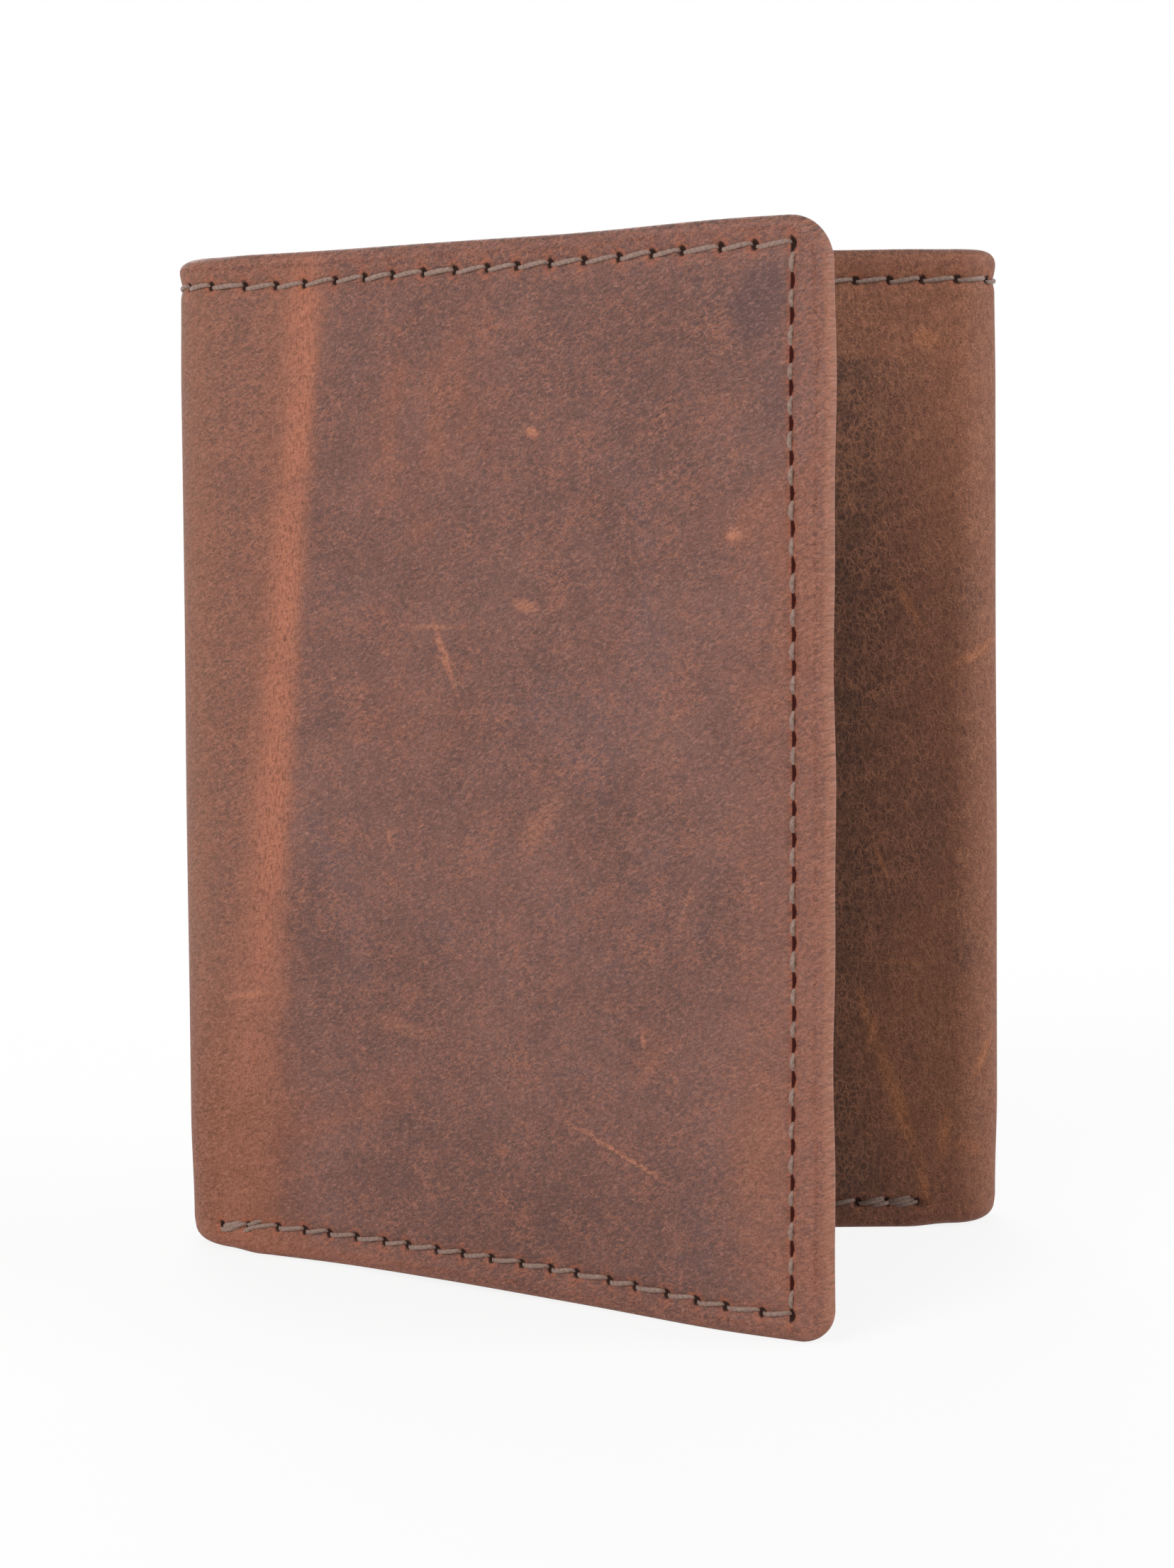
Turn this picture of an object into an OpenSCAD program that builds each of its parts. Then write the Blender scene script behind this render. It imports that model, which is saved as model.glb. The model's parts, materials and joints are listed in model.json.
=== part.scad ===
// Trifold wallet in oiled leather, standing on its bottom edge with the front flap part open.
// Millimetres. +Z is up and +Y points out of the back. The origin is under the middle of the
// wallet, on the surface that it stands on.
// Every panel is drawn flat: u runs across it, depth runs inwards from its outer face, z is up.

/* [Shell] */
// Height of the leather shell
shell_height = 104; // [96:0.5:116]
// Width of the closed wallet over both folds
closed_width = 86; // [84:0.5:96]
// Front flap, from the end of its fold to the free edge
front_width = 73; // [62:0.5:80]
// Tucked flap, from the end of its fold to the free edge
tucked_width = 60; // [58:0.5:66]
// Radius of the free corners of the flaps
corner_radius = 4.5; // [3:0.5:8]
// Radius left inside the innermost sheet of a closed fold
inner_bend_radius = 1.4; // [0.6:0.1:2]
// How far the front flap stands open, in degrees
front_open = 32; // [20:1:60]

/* [Layers] */
// Shell leather
leather_t = 1.2; // [0.9:0.1:1.6]
// Lining cloth behind the shell leather
lining_t = 0.3; // [0.2:0.05:0.5]
// Room for notes on each side of the divider
note_room = 0.6; // [0.4:0.1:1]
// Cloth divider between the two note compartments
divider_t = 0.3; // [0.2:0.05:0.5]
// Inner wall that carries the card pockets
inner_wall_t = 0.6; // [0.4:0.1:1]
// Leather of one card pocket
pocket_t = 0.5; // [0.4:0.1:0.8]
// Slack room in one card pocket
card_room = 0.1; // [0.05:0.05:0.3]
// Clear window sheet
window_t = 0.3; // [0.2:0.05:0.5]
// Leather frame round the window
frame_t = 0.8; // [0.5:0.1:1]
// Air between two panels folded on each other
panel_gap = 0.8; // [0.6:0.1:1.5]

/* [Inner sheets] */
// Distance of lining, wall and pockets from the bottom edge of the shell
sheet_inset = 1; // [0.5:0.1:2]
// Distance of the inner sheets from the free edge of a flap
free_inset = 2.4; // [1:0.1:3]
// Drop of the inner wall below the top of the shell
wall_drop = 4; // [2:0.5:8]
// Drop of the divider below the top of the shell
divider_drop = 7; // [5:0.5:12]
// Gap from the end of the fold to the pockets
pocket_margin = 1; // [0.5:0.5:2]
// Height of the mouth of the lowest card pocket
lowest_mouth = 58; // [45:1:62]
// Step from one pocket mouth to the next
mouth_step = 12; // [8:0.5:14]
// Width of the leather frame of the window pocket
frame_width = 66; // [62:0.5:70]
// Height of the leather frame of the window pocket
frame_height = 90; // [86:0.5:91]
// Width of the leather left on each side of the window
frame_border = 9; // [7:0.5:12]
// Corner radius of the window
window_radius = 4; // [2:0.5:6]

/* [Seams] */
// Length of one stitch with its hole
stitch_pitch = 3.4; // [2.5:0.1:4]
// Bare leather between two stitches
stitch_gap = 0.7; // [0.5:0.1:1]
// Width of the thread
thread_w = 0.7; // [0.5:0.05:0.9]
// Thickness of the thread where it lies on the leather
thread_t = 0.3; // [0.2:0.05:0.35]
// Depth of the groove that the outer stitches lie in
groove_depth = 0.4; // [0.35:0.05:0.5]
// Clearance of the groove on each side of the thread
groove_clearance = 0.1; // [0.05:0.05:0.2]
// Seam to the top edge
seam_top = 2.6; // [2:0.1:4]
// Seam to the bottom edge
seam_bottom = 2.5; // [2:0.1:4]
// Seam to the free edge of a flap
seam_side = 3.7; // [2.5:0.1:5]
// Start of the bottom seam past the end of a fold
seam_start = 2; // [1:0.5:4]

/* [Hidden] */
$fn = 64;
cut = 0.01;
pocket_names = ["upper", "middle", "lower"];
pocket_count = len(pocket_names);

// Depths from the outer face of a panel to each layer
lining_depth = leather_t;
divider_depth = lining_depth + lining_t + note_room;
wall_depth = divider_depth + divider_t + note_room;
wall_end = wall_depth + inner_wall_t;
pocket_layer = card_room + pocket_t;
window_depth = wall_end + card_room;
frame_depth = window_depth + window_t;
panel_t = max(wall_end + pocket_count * pocket_layer, frame_depth + frame_t);

// A fold is two leather bends with a flat spine between them
fold_radius = wall_end + inner_bend_radius;
neutral_radius = fold_radius - leather_t / 2;
tucked_reach = 2 * panel_t + panel_gap;
front_reach = 3 * panel_t + 2 * panel_gap;
right_spine = tucked_reach - 2 * fold_radius;
left_spine = front_reach - 2 * fold_radius;
centre_width = closed_width - 2 * fold_radius;

// A bend keeps the length of its leather when it turns about this point on the neutral line
pivot_along = neutral_radius * PI / 4;
pivot_in = neutral_radius - pivot_along;
function tangent_length(open) = pivot_along + pivot_in / tan(45 + open / 2);
function bend_radius(open) = tangent_length(open) / tan((90 - open) / 2) + leather_t / 2;

// Outer end of the front fold, where the front flap begins, before centring
front_bend = bend_radius(front_open);
front_x = -closed_width / 2 + front_bend * (1 - sin(front_open));
front_y = -fold_radius - left_spine - front_bend * cos(front_open);
front_tip_y = front_y - front_width * sin(front_open);
centring = -front_tip_y / 2;

groove_w = thread_w + 2 * groove_clearance;
inset_corner = corner_radius - sheet_inset;
wall_top = shell_height - wall_drop;
divider_top = shell_height - divider_drop;
lining_top = shell_height - sheet_inset;
top_seam_z = shell_height - seam_top;
seam_rise = top_seam_z - seam_bottom;
function pocket_mouth(k) = lowest_mouth + (pocket_count - 1 - k) * mouth_step;
function pocket_face(k) = wall_end + (k + 1) * pocket_layer;

// Places of the panels and folds

module centre_frame() {
    translate([0, centring, 0]) mirror([0, 1, 0]) children();
}

module front_frame() {
    translate([front_x, front_y + centring, 0]) rotate([0, 0, -front_open]) children();
}

module tucked_frame() {
    translate([closed_width / 2 - fold_radius, centring - tucked_reach, 0]) mirror([1, 0, 0]) children();
}

module left_fold_frame() {
    translate([-closed_width / 2, centring, 0]) children();
}

module right_fold_frame() {
    translate([closed_width / 2, centring, 0]) mirror([1, 0, 0]) children();
}

// Flat sheets

// Outline with a straight edge at u = 0 and two rounded corners at the free edge
module free_outline(width, z0, z1, r0, r1) {
    translate([0, z0 + r0]) square([width, z1 - z0 - r0 - r1]);
    if (r0 > 0) {
        translate([0, z0]) square([width - r0, r0]);
        translate([width - r0, z0 + r0]) circle(r0);
    }
    if (r1 > 0) {
        translate([0, z1 - r1]) square([width - r1, r1]);
        translate([width - r1, z1 - r1]) circle(r1);
    }
}

// Stands a flat outline up as a sheet that starts at a depth
module sheet(depth, t) {
    translate([0, depth + t, 0]) rotate([90, 0, 0]) linear_extrude(t) children();
}

// Straight sheet of the centre panel, the same on both sides of the middle
module centre_sheet(width, depth, t, z0, z1) {
    translate([-width / 2, depth, z0]) cube([width, t, z1 - z0]);
}

// Seams

// Stitch of a given length along u, lying from depth inwards
module stitch(length, depth) {
    r = thread_w / 2;
    sheet(depth, thread_t) {
        translate([r - length / 2, -r]) square([length - thread_w, thread_w]);
        for (side = [-1, 1]) translate([side * (length / 2 - r), 0]) circle(r);
    }
}

function stitch_count(length) = max(1, round(length / stitch_pitch));

// Row of stitches along u from the origin
module stitch_row(length, depth) {
    count = stitch_count(length);
    step = length / count;
    for (i = [0:count - 1]) translate([(i + 0.5) * step, 0, 0]) stitch(step - stitch_gap, depth);
}

// Row of stitches up z from the origin
module stitch_column(height, depth) {
    rotate([0, -90, 0]) stitch_row(height, depth);
}

// Depth at which an outer stitch lies on the floor of its groove
outer_stitch_depth = groove_depth - thread_t;

// Groove along u from the origin
module groove(length) {
    translate([0, -cut, -groove_w / 2]) cube([length, groove_depth + cut, groove_w]);
}

// Shell leather of a flap, grooved along the top, the free edge and the bottom
module flap_leather(width) {
    seam_u = width - seam_side;
    difference() {
        sheet(0, leather_t) free_outline(width, 0, shell_height, corner_radius, corner_radius);
        translate([0, 0, top_seam_z]) groove(seam_u + groove_w / 2);
        translate([seam_start, 0, seam_bottom]) groove(seam_u + groove_w / 2 - seam_start);
        translate([seam_u, 0, seam_bottom]) rotate([0, -90, 0]) groove(seam_rise);
    }
}

// Stitches on the outer face of a flap
module flap_stitches(width) {
    seam_u = width - seam_side;
    translate([0, 0, top_seam_z]) stitch_row(seam_u, outer_stitch_depth);
    translate([seam_u, 0, seam_bottom]) stitch_column(seam_rise, outer_stitch_depth);
    translate([seam_start, 0, seam_bottom]) stitch_row(seam_u - seam_start, outer_stitch_depth);
}

// Depth of the inner face of a flap over a stitch that starts at height z
function inner_face(z) =
    z < pocket_mouth(2) ? pocket_face(2) :
    z < pocket_mouth(1) ? pocket_face(1) :
    z < pocket_mouth(0) ? pocket_face(0) : wall_end;

// Stitches on the inner face of a flap, stepping down from pocket to pocket
module pocket_stitches(width) {
    seam_u = width - seam_side;
    top = wall_top - inset_corner;
    count = stitch_count(top - seam_bottom);
    step = (top - seam_bottom) / count;
    for (i = [0:count - 1])
        translate([seam_u, 0, seam_bottom + (i + 0.5) * step])
            rotate([0, -90, 0]) stitch(step - stitch_gap, inner_face(seam_bottom + i * step));
    translate([seam_start, 0, seam_bottom])
        stitch_row(seam_u - seam_start, inner_face(seam_bottom));
}

module flap_lining(width) {
    sheet(lining_depth, lining_t)
        free_outline(width - free_inset, sheet_inset, lining_top, inset_corner, inset_corner);
}

module flap_divider(width) {
    sheet(divider_depth, divider_t)
        free_outline(width - free_inset, sheet_inset, divider_top, inset_corner, inset_corner);
}

module flap_wall(width) {
    sheet(wall_depth, inner_wall_t)
        free_outline(width - free_inset, sheet_inset, wall_top, inset_corner, inset_corner);
}

// Card pocket k, counted from the upper one, which lies deepest
module flap_pocket(width, k) {
    translate([pocket_margin, 0, 0]) sheet(pocket_face(k) - pocket_t, pocket_t)
        free_outline(width - free_inset - pocket_margin, sheet_inset, pocket_mouth(k), inset_corner, 0);
}

// Folds, drawn with the outer face of the spine at x = 0 and the back face at y = 0

// Part of a ring about the origin between two angles
module ring_sector(outer, t, from, to, h) {
    rotate([0, 0, from]) rotate_extrude(angle = to - from, $fn = 96)
        translate([outer - t, 0]) square([t, h]);
}

// One sheet of a fold: a square bend, the flat spine, and a bend that is open by an angle
module fold_sheet(spine, open, depth, t, z0, z1) {
    bend = bend_radius(open);
    h = z1 - z0;
    translate([0, 0, z0]) {
        translate([fold_radius, -fold_radius, 0]) ring_sector(fold_radius - depth, t, 90, 180, h);
        translate([depth, -fold_radius - spine, 0]) cube([t, spine, h]);
        translate([bend, -fold_radius - spine, 0]) ring_sector(bend - depth, t, 180, 270 - open, h);
    }
}

module fold_leather(spine, open) {
    difference() {
        fold_sheet(spine, open, 0, leather_t, 0, shell_height);
        fold_sheet(spine, open, -cut, groove_depth + cut, top_seam_z - groove_w / 2, top_seam_z + groove_w / 2);
    }
}

// Place and outward angle at a distance along the outer face of a fold
square_bend = fold_radius * PI / 2;
function fold_station(s, spine, bend) =
    s < square_bend ? let (a = 90 + s / fold_radius * 180 / PI)
        [fold_radius * (1 + cos(a)), fold_radius * (sin(a) - 1), a] :
    s < square_bend + spine ? [0, square_bend - fold_radius - s, 180] :
    let (a = 180 + (s - square_bend - spine) / bend * 180 / PI)
        [bend * (1 + cos(a)), bend * sin(a) - fold_radius - spine, a];

// Top stitches carried round a fold
module fold_stitches(spine, open) {
    bend = bend_radius(open);
    length = square_bend + spine + bend * (90 - open) * PI / 180;
    count = stitch_count(length);
    step = length / count;
    for (i = [0:count - 1]) {
        at = fold_station((i + 0.5) * step, spine, bend);
        translate([at[0], at[1], top_seam_z]) rotate([0, 0, at[2] + 90])
            stitch(step - stitch_gap, outer_stitch_depth);
    }
}

// Centre panel

leather_brown = [0.36, 0.2, 0.15];
pocket_brown = [0.33, 0.19, 0.13];
lining_brown = [0.16, 0.1, 0.07];
thread_taupe = [0.33, 0.26, 0.22];

module back_leather() color(leather_brown) centre_frame() difference() {
    centre_sheet(centre_width, 0, leather_t, 0, shell_height);
    for (z = [seam_bottom, top_seam_z]) translate([-centre_width / 2, 0, z]) groove(centre_width);
}

module back_lining() color(lining_brown) centre_frame()
    centre_sheet(centre_width, lining_depth, lining_t, sheet_inset, lining_top);

module back_divider() color(lining_brown) centre_frame()
    centre_sheet(centre_width, divider_depth, divider_t, sheet_inset, divider_top);

module centre_inner_wall() color(pocket_brown) centre_frame()
    centre_sheet(centre_width, wall_depth, inner_wall_t, sheet_inset, wall_top);

frame_top = sheet_inset + frame_height;

module id_window_sheet() color([0.8, 0.85, 0.88, 0.4]) centre_frame()
    centre_sheet(frame_width, window_depth, window_t, sheet_inset, frame_top);

// Opening of the window, centred in its frame
module window_outline() {
    width = frame_width - 2 * frame_border;
    height = frame_height - 2 * frame_border;
    straight_w = width - 2 * window_radius;
    straight_h = height - 2 * window_radius;
    translate([-width / 2, window_radius]) square([width, straight_h]);
    translate([-straight_w / 2, 0]) square([straight_w, height]);
    for (side = [-1, 1], z = [window_radius, height - window_radius])
        translate([side * straight_w / 2, z]) circle(window_radius);
}

module id_window_frame() color(pocket_brown) centre_frame() difference() {
    centre_sheet(frame_width, frame_depth, frame_t, sheet_inset, frame_top);
    translate([0, 0, sheet_inset + frame_border])
        sheet(frame_depth - cut, frame_t + 2 * cut) window_outline();
}

module back_thread() color(thread_taupe) centre_frame()
    for (z = [seam_bottom, top_seam_z])
        translate([-centre_width / 2, 0, z]) stitch_row(centre_width, outer_stitch_depth);

module id_window_thread() color(thread_taupe) centre_frame() {
    half = frame_width / 2 - seam_bottom;
    face = frame_depth + frame_t;
    rise = frame_top - sheet_inset - 2 * seam_bottom;
    for (side = [-1, 1]) translate([side * half, 0, sheet_inset + seam_bottom]) stitch_column(rise, face);
    translate([-half, 0, sheet_inset + seam_bottom]) stitch_row(2 * half, face);
}

// Folds

module left_fold_leather() color(leather_brown) left_fold_frame() fold_leather(left_spine, front_open);

module left_fold_lining() color(lining_brown) left_fold_frame()
    fold_sheet(left_spine, front_open, lining_depth, lining_t, sheet_inset, lining_top);

module left_fold_divider() color(lining_brown) left_fold_frame()
    fold_sheet(left_spine, front_open, divider_depth, divider_t, sheet_inset, divider_top);

module left_fold_inner_wall() color(pocket_brown) left_fold_frame()
    fold_sheet(left_spine, front_open, wall_depth, inner_wall_t, sheet_inset, wall_top);

module left_fold_thread() color(thread_taupe) left_fold_frame() fold_stitches(left_spine, front_open);

module right_fold_leather() color(leather_brown) right_fold_frame() fold_leather(right_spine, 0);

module right_fold_lining() color(lining_brown) right_fold_frame()
    fold_sheet(right_spine, 0, lining_depth, lining_t, sheet_inset, lining_top);

module right_fold_divider() color(lining_brown) right_fold_frame()
    fold_sheet(right_spine, 0, divider_depth, divider_t, sheet_inset, divider_top);

module right_fold_inner_wall() color(pocket_brown) right_fold_frame()
    fold_sheet(right_spine, 0, wall_depth, inner_wall_t, sheet_inset, wall_top);

module right_fold_thread() color(thread_taupe) right_fold_frame() fold_stitches(right_spine, 0);

// Front flap

module front_leather() color(leather_brown) front_frame() flap_leather(front_width);
module front_lining() color(lining_brown) front_frame() flap_lining(front_width);
module front_divider() color(lining_brown) front_frame() flap_divider(front_width);
module front_inner_wall() color(pocket_brown) front_frame() flap_wall(front_width);
module front_card_pocket(k) color(pocket_brown) front_frame() flap_pocket(front_width, k);
module front_thread() color(thread_taupe) front_frame() flap_stitches(front_width);
module front_pocket_thread() color(thread_taupe) front_frame() pocket_stitches(front_width);

// Tucked flap

module tucked_leather() color(leather_brown) tucked_frame() flap_leather(tucked_width);
module tucked_lining() color(lining_brown) tucked_frame() flap_lining(tucked_width);
module tucked_divider() color(lining_brown) tucked_frame() flap_divider(tucked_width);
module tucked_inner_wall() color(pocket_brown) tucked_frame() flap_wall(tucked_width);
module tucked_card_pocket(k) color(pocket_brown) tucked_frame() flap_pocket(tucked_width, k);
module tucked_thread() color(thread_taupe) tucked_frame() flap_stitches(tucked_width);
module tucked_pocket_thread() color(thread_taupe) tucked_frame() pocket_stitches(tucked_width);

back_leather();
back_lining();
back_divider();
centre_inner_wall();
id_window_sheet();
id_window_frame();
back_thread();
id_window_thread();
left_fold_leather();
left_fold_lining();
left_fold_divider();
left_fold_inner_wall();
left_fold_thread();
right_fold_leather();
right_fold_lining();
right_fold_divider();
right_fold_inner_wall();
right_fold_thread();
front_leather();
front_lining();
front_divider();
front_inner_wall();
front_card_pocket(0);  // front_card_pocket_upper
front_card_pocket(1);  // front_card_pocket_middle
front_card_pocket(2);  // front_card_pocket_lower
front_thread();
front_pocket_thread();
tucked_leather();
tucked_lining();
tucked_divider();
tucked_inner_wall();
tucked_card_pocket(0);  // tucked_card_pocket_upper
tucked_card_pocket(1);  // tucked_card_pocket_middle
tucked_card_pocket(2);  // tucked_card_pocket_lower
tucked_thread();
tucked_pocket_thread();
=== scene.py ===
import json
import math

import bmesh
import bpy
import numpy as np
from mathutils import Matrix, Vector


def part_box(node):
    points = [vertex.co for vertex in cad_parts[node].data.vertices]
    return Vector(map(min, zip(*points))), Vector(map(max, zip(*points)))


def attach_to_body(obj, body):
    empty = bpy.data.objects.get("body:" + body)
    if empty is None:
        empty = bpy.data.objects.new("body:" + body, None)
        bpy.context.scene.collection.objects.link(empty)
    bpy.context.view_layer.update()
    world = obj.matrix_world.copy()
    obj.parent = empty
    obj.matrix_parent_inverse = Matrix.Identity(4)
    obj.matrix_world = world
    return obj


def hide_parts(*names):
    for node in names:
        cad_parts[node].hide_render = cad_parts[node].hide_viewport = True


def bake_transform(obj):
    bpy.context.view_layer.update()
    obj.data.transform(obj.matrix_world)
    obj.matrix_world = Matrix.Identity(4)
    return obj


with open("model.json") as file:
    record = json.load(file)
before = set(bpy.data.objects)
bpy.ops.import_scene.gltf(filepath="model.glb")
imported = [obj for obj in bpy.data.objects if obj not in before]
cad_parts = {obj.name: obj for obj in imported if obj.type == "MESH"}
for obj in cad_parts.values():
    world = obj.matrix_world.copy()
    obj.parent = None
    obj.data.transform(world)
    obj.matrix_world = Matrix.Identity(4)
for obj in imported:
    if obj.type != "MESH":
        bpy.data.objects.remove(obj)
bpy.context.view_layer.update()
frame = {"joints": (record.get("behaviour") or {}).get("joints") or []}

MM = 0.001

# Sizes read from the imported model
joints = {j["name"]: j for j in frame["joints"]}
back_lo, back_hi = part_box("back_leather")
tucked_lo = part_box("tucked_leather")[0]
HEIGHT = back_hi.z
BACK_Y = back_hi.y
LEATHER = back_hi.y - back_lo.y
HALF = back_hi.x
LEFT_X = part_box("left_fold_leather")[0].x
RIGHT_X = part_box("right_fold_leather")[1].x
RADIUS = -HALF - LEFT_X
TUCKED_Y = tucked_lo.y
TUCKED_W = HALF - tucked_lo.x
OPEN = -math.radians(joints["front_flap_fold"]["range_deg"][0])

# The bend at the front flap is partly open, so its radius is larger than that of a closed bend
neutral = RADIUS - LEATHER / 2
pivot_along = neutral * math.pi / 4
pivot_in = neutral - pivot_along
tangent = pivot_along + pivot_in / math.tan(math.pi / 4 + OPEN / 2)
FRONT_BEND = tangent / math.tan(math.pi / 4 - OPEN / 2) + LEATHER / 2
pivots_apart = joints["left_spine_fold"]["pos_m"][1] - joints["front_flap_fold"]["pos_m"][1]
LEFT_SPINE = LEATHER + 2 * pivot_in + pivots_apart - 2 * RADIUS
RIGHT_SPINE = BACK_Y - TUCKED_Y - 2 * RADIUS
front_start_y = BACK_Y - RADIUS - LEFT_SPINE - FRONT_BEND * math.cos(OPEN)
FRONT_W = (front_start_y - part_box("front_leather")[0].y) / math.sin(OPEN)

# Seams and edges, as in the part's source
CORNER = 4.5 * MM
SEAM_TOP = HEIGHT - 2.6 * MM
SEAM_BOTTOM = 2.5 * MM
SEAM_SIDE = 3.7 * MM
SEAM_START = 2 * MM
FREE_INSET = 2.4 * MM
POCKET_MARGIN = 1 * MM
INNER_CORNER = 3.5 * MM
THREAD_R = 0.25 * MM
SIDE_PITCH = 3.2 * MM
LEVEL_PITCH = 3.3 * MM
# How far the top seams dip towards the spines, and the depth of the channel that a seam lies in
SEAM_DIP = 0.3 * MM
CHANNEL = 0.2 * MM


def layer(node):
    """Depth of a layer's outer side below the outer face of its panel, its thickness and its z range."""
    lo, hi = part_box(node)
    return lo.y - TUCKED_Y, hi.y - lo.y, lo.z, hi.z


def smooth(x, start, end):
    t = np.clip((np.asarray(x, float) - start) / (end - start), 0, 1)
    return t * t * (3 - 2 * t)


def bell(x, width):
    return np.exp(-((np.asarray(x, float) / width) ** 2))


def rounded(d, r):
    """Share of the full half thickness of a rounded rim at a distance d from the border."""
    return np.sqrt(np.clip(1 - (1 - np.clip(d / r, 0, 1)) ** 2, 0, 1))


def quarter(d, r):
    """How far a border of radius r draws in at a distance d from its end."""
    return r * (1 - rounded(d, r))


# Paths of the strips, seen from above. The front flap bows a little and leans out of true
BOW = 0.75 * MM
BOW_WIDTH = 10 * MM
LEAN_TOP = 0.45 * MM
LEAN_BOTTOM = 0.65 * MM


def no_bow(u, depth):
    return 0 * u


def front_bow(u, depth):
    """How far the front flap bows out of its plane, at a distance u from its bend and at a depth.

    The inner layers bow in less than the leather, so that the shut flap clears the tucked flap.
    """
    share = 1 - 0.6 * smooth(depth, LEATHER, LEATHER + 1.5 * MM)
    inward = -BOW * bell(u - 14 * MM, BOW_WIDTH) * share
    outward = BOW * bell(u - (FRONT_W - 12 * MM), BOW_WIDTH)
    return (inward + outward) * smooth(u, 0, 6 * MM)


class Path:
    """Outer face of a strip: a straight run, a bend towards the inside, and a second straight run.

    The strip's two runs are on two bodies. The CAD nodes that it stands for are named after its panel
    and its fold.
    """

    def __init__(self, name, bodies, nodes, start, heading, turn, first, radius, sweep, last, s_start, s_sign,
                 bow=no_bow):
        self.name, self.bodies, self.nodes = name, bodies, nodes
        self.flap = not name.startswith("back")
        self.heading, self.turn, self.first = heading, turn, first
        self.radius, self.sweep, self.bow = radius, sweep, bow
        self.neutral = radius - LEATHER / 2
        self.bend_end = first + self.neutral * sweep
        self.end = self.bend_end + last
        self.s_start, self.s_sign = s_start, s_sign
        ahead = np.array([math.cos(heading), math.sin(heading)])
        inward = turn * np.array([-math.sin(heading), math.cos(heading)])
        self.centre = np.array(start) + ahead * first + inward * radius

    def place(self, p, depth):
        """x and y of the points at distance p along the strip and at a depth below its outer face."""
        p = np.asarray(p, float)
        before = np.minimum(p - self.first, 0)
        angle = np.clip((p - self.first) / self.neutral, 0, self.sweep)
        beyond = np.maximum(p - self.bend_end, 0)
        depth = depth - self.bow(beyond, depth)
        h = self.heading + self.turn * angle
        cos, sin = np.cos(h), np.sin(h)
        reach = self.radius - depth
        x = self.centre[0] + self.turn * sin * reach + cos * (beyond + before)
        y = self.centre[1] - self.turn * cos * reach + sin * (beyond + before)
        return x, y

    def s(self, p):
        """Distance along the whole unrolled wallet, from the middle of its back."""
        return self.s_start + self.s_sign * np.asarray(p, float)

    def sheet_mm(self, u_mm):
        """The same in millimetres, at a distance from the end of the bend."""
        return float(self.s(self.bend_end + u_mm * MM)) / MM

    def ends(self, depth):
        """First and last point of the bend at a depth."""
        x, y = self.place([self.first, self.bend_end], depth)
        return [(float(x[i]), float(y[i]), HEIGHT / 2) for i in (0, 1)]


DOWN = -math.pi / 2
back_left_length = HALF + neutral * math.pi / 2 + LEFT_SPINE / 2
back_right_length = HALF + neutral * math.pi / 2 + RIGHT_SPINE / 2
left_middle = (LEFT_X, BACK_Y - RADIUS - LEFT_SPINE / 2)
right_middle = (RIGHT_X, BACK_Y - RADIUS - RIGHT_SPINE / 2)

front_path = Path("front", ("left_spine", "front_flap"), ("front", "left_fold"), left_middle, DOWN, 1,
                  LEFT_SPINE / 2, FRONT_BEND, math.pi / 2 - OPEN, FRONT_W, -back_left_length, -1, front_bow)
back_left_path = Path("back_left", ("centre_panel", "left_spine"), ("back", "left_fold"), (0, BACK_Y),
                      math.pi, 1, HALF, RADIUS, math.pi / 2, LEFT_SPINE / 2, 0, -1)
back_right_path = Path("back_right", ("centre_panel", "right_spine"), ("back", "right_fold"), (0, BACK_Y),
                       0, -1, HALF, RADIUS, math.pi / 2, RIGHT_SPINE / 2, 0, 1)
tucked_path = Path("tucked", ("right_spine", "tucked_flap"), ("tucked", "right_fold"), right_middle, DOWN, -1,
                   RIGHT_SPINE / 2, RADIUS, math.pi / 2, TUCKED_W, back_right_length, 1)
PATHS = (front_path, back_left_path, back_right_path, tucked_path)
FLAPS = (front_path, tucked_path)


def sideways(path, p, z):
    """Sideways lean of the front flap and its spine, which stand a little out of true."""
    low = 1 - z / HEIGHT
    if path is front_path:
        near = 1 - smooth(p, path.bend_end, path.bend_end + 50 * MM)
        return LEAN_TOP * (1 - low) * near - LEAN_BOTTOM * low
    if path is back_left_path:
        return (LEAN_TOP * (1 - low) - LEAN_BOTTOM * low) * smooth(p, 10 * MM, path.first)
    return 0 * z


def attach_strip(obj, path, kind, depth):
    """Bake a piece's place into its mesh and hide the nodes of one kind on panel and fold, which it stands in
    for.
    """
    panel, fold = path.nodes
    if panel == "back" and kind == "inner_wall":
        panel = "centre"
    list(path.ends(depth))
    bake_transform(obj)
    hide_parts(panel + "_" + kind, fold + "_" + kind)


def attach(obj, body, node):
    """Put a piece on one body, in place of a node."""
    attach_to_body(obj, body)
    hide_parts(node)


# Mesh helpers

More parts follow.
